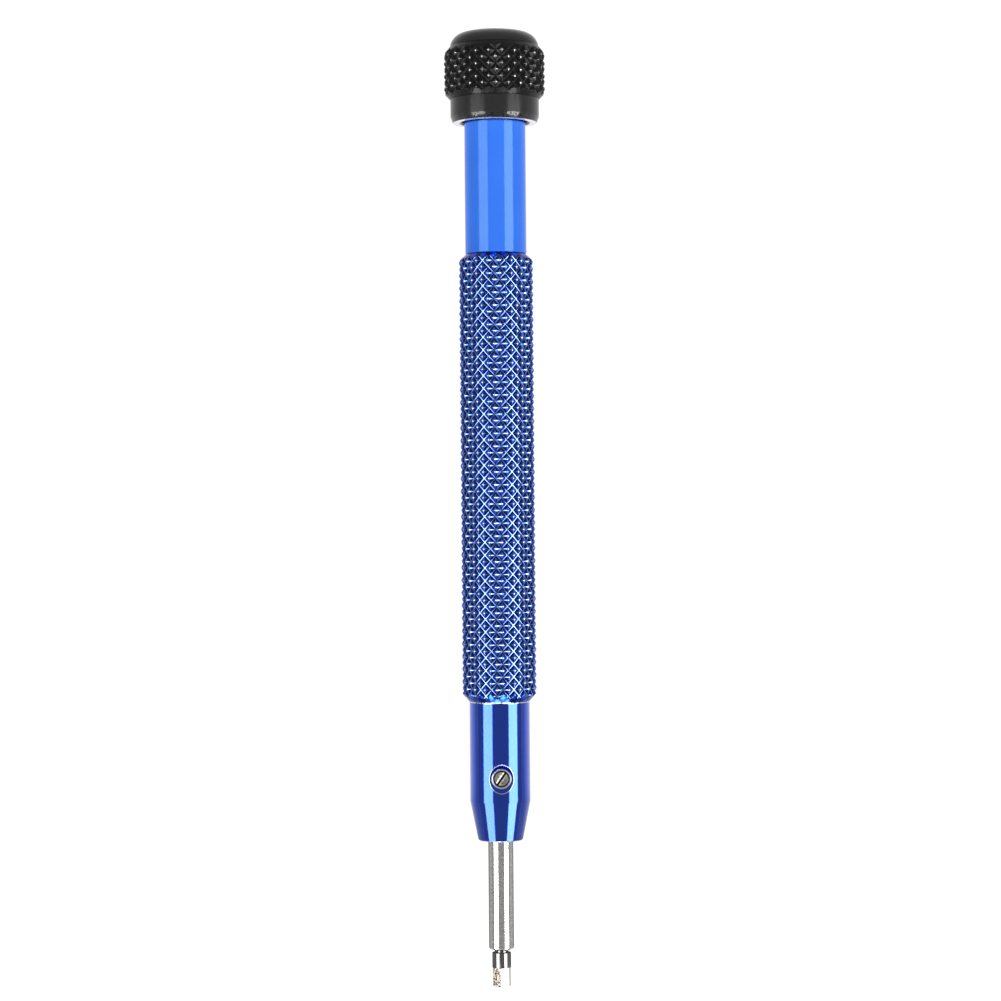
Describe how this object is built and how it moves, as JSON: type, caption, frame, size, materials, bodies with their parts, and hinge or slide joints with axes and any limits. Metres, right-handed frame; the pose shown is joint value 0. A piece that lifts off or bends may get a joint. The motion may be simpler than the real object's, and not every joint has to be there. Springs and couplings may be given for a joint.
{
  "type": "watchmaker screwdriver",
  "caption": "Slim precision screwdriver with a knurled blue barrel, a bit clamped by a set screw in the tapered nose, and a knurled black cap that turns freely on a ball bearing.",
  "frame": {"origin": "centre of the working tip's end face, on the tool's axis", "axes": "+Y along the tool's axis from the tip to the cap, +Z towards the bit's set screw; the tool lies on its side"},
  "size_m": [0.0122, 0.1146, 0.0122],
  "materials": {
    "anodised_blue": "anodised, glossy",
    "blue_plastic": "glossy",
    "anodised_black": "anodised, satin",
    "tool_steel": "fine ground",
    "screw_steel": "turned",
    "bearing_steel": "polished",
    "cage_brass": "satin"
  },
  "bodies": {
    "handle": {"grip_barrel": "anodised_blue", "colour_sleeve": "blue_plastic", "spindle": "tool_steel", "bearing_inner_ring": "bearing_steel", "bearing_washer": "screw_steel", "bearing_screw": "screw_steel"},
    "cap": {"swivel_cap": "anodised_black", "bearing_outer_ring": "bearing_steel", "bearing_shield_front": "bearing_steel", "bearing_shield_rear": "bearing_steel"},
    "cage": {"bearing_cage": "cage_brass"},
    "set_screw": {"bit_set_screw": "screw_steel"},
    "bit": {"driver_bit": "tool_steel"},
    "ball_1": {"bearing_ball_1": "bearing_steel"},
    "ball_2": {"bearing_ball_2": "bearing_steel"},
    "ball_3": {"bearing_ball_3": "bearing_steel"},
    "ball_4": {"bearing_ball_4": "bearing_steel"},
    "ball_5": {"bearing_ball_5": "bearing_steel"},
    "ball_6": {"bearing_ball_6": "bearing_steel"},
    "ball_7": {"bearing_ball_7": "bearing_steel"}
  },
  "joints": [
    {"name": "cap_swivel", "type": "hinge", "parent": "handle", "child": "cap", "pos_m": [0, 0.1068, 0], "axis": [0, 1, 0], "continuous": true},
    {"name": "cage_orbit", "type": "hinge", "parent": "handle", "child": "cage", "pos_m": [0, 0.1068, 0], "axis": [0, 1, 0], "continuous": true},
    {"name": "set_screw_turn", "type": "hinge", "parent": "handle", "child": "set_screw", "pos_m": [0, 0.0251, 0], "axis": [0, 0, 1], "range_deg": [0, 720]},
    {"name": "bit_slide", "type": "slide", "parent": "handle", "child": "bit", "axis": [0, -1, 0], "range_m": [0, 0.0165]},
    {"name": "ball_1_roll", "type": "hinge", "parent": "cage", "child": "ball_1", "pos_m": [0, 0.1068, 0.00275], "axis": [0, 1, 0], "continuous": true},
    {"name": "ball_2_roll", "type": "hinge", "parent": "cage", "child": "ball_2", "pos_m": [0.00215, 0.1068, 0.00171], "axis": [0, 1, 0], "continuous": true},
    {"name": "ball_3_roll", "type": "hinge", "parent": "cage", "child": "ball_3", "pos_m": [0.00268, 0.1068, -0.00061], "axis": [0, 1, 0], "continuous": true},
    {"name": "ball_4_roll", "type": "hinge", "parent": "cage", "child": "ball_4", "pos_m": [0.00119, 0.1068, -0.00248], "axis": [0, 1, 0], "continuous": true},
    {"name": "ball_5_roll", "type": "hinge", "parent": "cage", "child": "ball_5", "pos_m": [-0.00119, 0.1068, -0.00248], "axis": [0, 1, 0], "continuous": true},
    {"name": "ball_6_roll", "type": "hinge", "parent": "cage", "child": "ball_6", "pos_m": [-0.00268, 0.1068, -0.00061], "axis": [0, 1, 0], "continuous": true},
    {"name": "ball_7_roll", "type": "hinge", "parent": "cage", "child": "ball_7", "pos_m": [-0.00215, 0.1068, 0.00171], "axis": [0, 1, 0], "continuous": true}
  ],
  "couplings": [
    {"joint": "cage_orbit", "follows": "cap_swivel", "ratio": 0.60909},
    {"joint": "ball_1_roll", "follows": "cap_swivel", "ratio": 2.1826},
    {"joint": "ball_2_roll", "follows": "cap_swivel", "ratio": 2.1826},
    {"joint": "ball_3_roll", "follows": "cap_swivel", "ratio": 2.1826},
    {"joint": "ball_4_roll", "follows": "cap_swivel", "ratio": 2.1826},
    {"joint": "ball_5_roll", "follows": "cap_swivel", "ratio": 2.1826},
    {"joint": "ball_6_roll", "follows": "cap_swivel", "ratio": 2.1826},
    {"joint": "ball_7_roll", "follows": "cap_swivel", "ratio": 2.1826}
  ]
}
